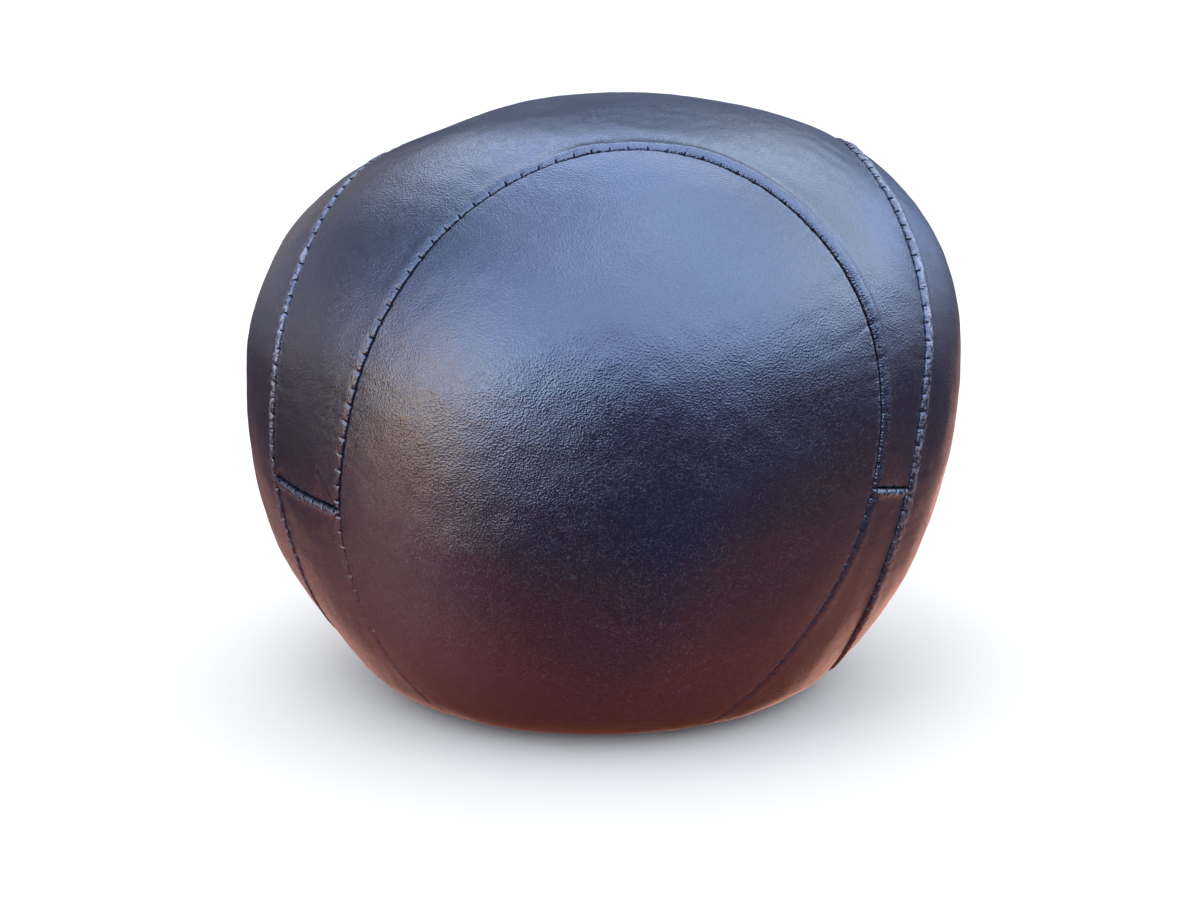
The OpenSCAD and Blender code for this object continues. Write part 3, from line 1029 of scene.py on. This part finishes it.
def add_piece(piece, node, material):
    wear_material(piece, material)
    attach(piece, "root")
    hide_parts(node)


leather = leather_material()
thread = thread_material()
lining_cloth = weave_material("lining_cloth", (0.62, 0.57, 0.47, 1), (0.40, 0.36, 0.28, 1), 1.1 * MM, 0.88)
canvas = weave_material("pouch_canvas", (0.55, 0.48, 0.34, 1), (0.33, 0.28, 0.19, 1), 1.8 * MM, 0.9)

for panel_name in PANEL_NAMES:
    add_piece(panel_mesh(panel_name), panel_name + "_panel", leather)
    add_piece(lining_mesh(panel_name), panel_name + "_lining", lining_cloth)
for seam_name in SEAM_NAMES:
    node_name = seam_name + ("_join_stitches" if seam_name in JOINS else "_stitches")
    add_piece(thread_mesh(seam_name), node_name, thread)
rag = stuffing_material()
for half_name, half_side in (("upper", 1), ("lower", -1)):
    half = stuffing_mesh("packed_" + half_name, half_side)
    add_piece(half, "stuffing_" + half_name, rag)

kept_nodes = {"sand_pouch": canvas, "sand_fill": sand_material(), "pouch_tie": cord_material()}
for node_name, material in kept_nodes.items():
    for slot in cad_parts[node_name].material_slots:
        slot.material = material

# ---------------------------------------------------------------------------------------------------
# Floor, light and camera
# ---------------------------------------------------------------------------------------------------

CENTRE = Vector((0, 0, 0.39 * BALL_H))  # what the lamps point at
FLOOR_REACH = 60.0
PLAIN_LIGHT = 1.25  # brightness of the white surroundings


def floor():
    mesh = bpy.data.meshes.new("floor")
    corners_round = ((-1, -1), (1, -1), (1, 1), (-1, 1))
    mesh.from_pydata([(x * FLOOR_REACH, y * FLOOR_REACH, 0) for x, y in corners_round], [], [(0, 1, 2, 3)])
    piece = bpy.data.objects.new("floor", mesh)
    bpy.context.scene.collection.objects.link(piece)
    s = Surface("pale_floor")
    tone = s.mix(s.noise(3, 3), (0.89, 0.89, 0.89, 1), (0.91, 0.91, 0.91, 1))
    mesh.materials.append(s.finish(Base_Color=tone, Roughness=0.9, Specular_IOR_Level=0.1))
    piece.visible_glossy = False  # the leather mirrors the world's warm ground instead


def area_light(name, azimuth, elevation, distance, size, power, colour):
    data = bpy.data.lights.new(name, "AREA")
    data.shape = "DISK"
    data.size = size
    data.energy = power
    data.color = colour
    lamp = bpy.data.objects.new(name, data)
    lamp.location = CENTRE + distance * Vector(bearing(azimuth, elevation))
    lamp.rotation_euler = (CENTRE - lamp.location).to_track_quat("-Z", "Y").to_euler()
    lamp.visible_glossy = False
    bpy.context.scene.collection.objects.link(lamp)


# What the leather mirrors. Warm ground: colours by elevation in degrees, from straight below
GROUND_LEVELS = [
    (-90, (0.68, 0.12, 0.04)),
    (-58, (0.90, 0.20, 0.09)),
    (-42, (0.62, 0.22, 0.16)),
    (-30, (0.60, 0.25, 0.19)),
    (-21, (0.10, 0.08, 0.11)),
]
HORIZON = (-9, 11)
SKY = (2.9, 4.25, 7.8, 1)
# Softly edged patches: direction round the ball, elevation, inner and outer reach in degrees, strength,
# colour. The first ones lie in the sky alone and the others over all.
SKY_PATCHES = [
    (-122, 12, 36, 58, 0.94, (0.28, 0.28, 0.38)),
    (-65, 64, 8, 42, 0.60, (1.20, 1.80, 3.20)),
    (-100, 42, 8, 32, 0.66, (0.50, 0.70, 1.10)),
    (64, 28, 10, 40, 0.75, (4.10, 5.90, 9.40)),
    (122, 42, 8, 28, 0.85, (1.70, 2.10, 2.70)),
    (128, -14, 20, 40, 0.90, (0.60, 0.60, 0.70)),
    (180, 14, 23, 47, 0.97, (0.11, 0.13, 0.17)),
    (-152, 50, 5, 22, 0.62, (4.20, 5.00, 6.80)),
    (146, 48, 6, 24, 0.75, (3.60, 4.30, 5.40)),
    (92, 28, 6, 24, 0.80, (4.60, 5.60, 6.80)),
    (80, -3, 12, 28, 0.78, (0.42, 0.44, 0.70)),
    (-150, 5, 5, 20, 0.35, (1.40, 1.20, 1.20)),
    (30, 64, 4, 26, 0.80, (4.90, 6.70, 10.5)),
    (56, 52, 4, 18, 0.45, (1.60, 2.60, 5.40)),
]
PATCHES = [
    (24, -32, 25, 43, 0.97, (0.09, 0.11, 0.36)),
    (98, -19, 11, 25, 0.82, (0.14, 0.11, 0.20)),
    (180, -48, 22, 44, 0.72, (0.25, 0.07, 0.03)),
    (163, -22, 4, 18, 0.86, (2.40, 1.24, 1.00)),
    (-158, -27, 4, 18, 0.75, (1.20, 0.60, 0.52)),
    (-88, -42, 8, 22, 0.80, (1.80, 0.84, 0.92)),
    (-104, 4, 6, 24, 0.45, (2.20, 1.90, 1.90)),
    (-55, 7, 5, 26, 0.72, (5.20, 4.90, 5.20)),
    (-30, -2, 8, 22, 0.92, (5.70, 8.10, 12.0)),
    (-36, -17, 4, 13, 0.60, (4.80, 3.90, 4.00)),
    (-58, -14, 4, 16, 0.97, (10.0, 7.20, 5.20)),
    (-10, -35, 10, 29, 0.94, (0.06, 0.06, 0.16)),
    (123, -36, 4, 17, 0.60, (1.15, 0.40, 0.26)),
    (-50, -36, 6, 20, 0.84, (0.28, 0.16, 0.28)),
    (-124, -18, 6, 21, 0.75, (0.10, 0.06, 0.08)),
]


def patched(w, place, colour, patches):
    for azimuth, elevation, inner, outer, strength, patch_colour in patches:
        inputs = {0: place, 1: tuple(bearing(azimuth, elevation))}
        near = w.node("ShaderNodeVectorMath", inputs, operation="DOT_PRODUCT").outputs["Value"]
        far_edge, near_edge = math.cos(math.radians(outer)), math.cos(math.radians(inner))
        colour = w.mix(w.spread(near, far_edge, near_edge, 0.0, strength), colour, (*patch_colour, 1))
    return colour


def world_light():
    """Plain white light all round; only mirror rays see the cool sky and the warm ground."""
    world = bpy.data.worlds.new("studio")
    world.use_nodes = True
    world.node_tree.nodes.clear()
    w = Nodes(world.node_tree)
    place = w.node("ShaderNodeTexCoord").outputs["Generated"]
    height = w.node("ShaderNodeSeparateXYZ", {0: place}).outputs[2]
    level = w.math("DEGREES", w.math("ARCSINE", w.math("MINIMUM", w.math("MAXIMUM", height, -1.0), 1.0)))
    ramp = w.node("ShaderNodeValToRGB", {0: w.math("MULTIPLY_ADD", level, 1 / 180, 0.5)})
    while len(ramp.color_ramp.elements) < len(GROUND_LEVELS):
        ramp.color_ramp.elements.new(0.5)
    for element, (elevation, colour) in zip(ramp.color_ramp.elements, GROUND_LEVELS):
        element.position = elevation / 180 + 0.5
        element.color = (*colour, 1)
    sky = patched(w, place, SKY, SKY_PATCHES)
    mirrored = patched(w, place, w.mix(w.spread(level, *HORIZON), ramp.outputs[0], sky), PATCHES)
    glossy = w.node("ShaderNodeBackground", {0: mirrored})
    plain = w.node("ShaderNodeBackground", {0: (1, 1, 1, 1), 1: PLAIN_LIGHT})
    by_gloss = w.node("ShaderNodeLightPath").outputs["Is Glossy Ray"]
    both = w.node("ShaderNodeMixShader", {0: by_gloss, 1: plain.outputs[0], 2: glossy.outputs[0]})
    w.node("ShaderNodeOutputWorld", {0: both.outputs[0]})
    bpy.context.scene.world = world


floor()
world_light()
area_light("key", -25, 62, 1.6, 0.9, 5, (0.90, 0.93, 1.0))
area_light("fill", 65, 40, 1.8, 1.1, 3, (0.90, 0.93, 1.0))

camera_data = bpy.data.cameras.new("camera")
camera_data.lens = 51.5
camera_data.sensor_width = 36
camera = bpy.data.objects.new("camera", camera_data)
CAMERA_PITCH = math.radians(12)
CAMERA_DISTANCE = 0.7123
camera_target = Vector((0.8 * MM, 0, 93.8 * MM))
camera_way = Vector((0, -math.cos(CAMERA_PITCH), math.sin(CAMERA_PITCH)))
camera.location = camera_target + CAMERA_DISTANCE * camera_way
camera.rotation_euler = (camera_target - camera.location).to_track_quat("-Z", "Y").to_euler()
bpy.context.scene.collection.objects.link(camera)
bpy.context.scene.camera = camera
bpy.context.scene.view_settings.view_transform = "Standard"
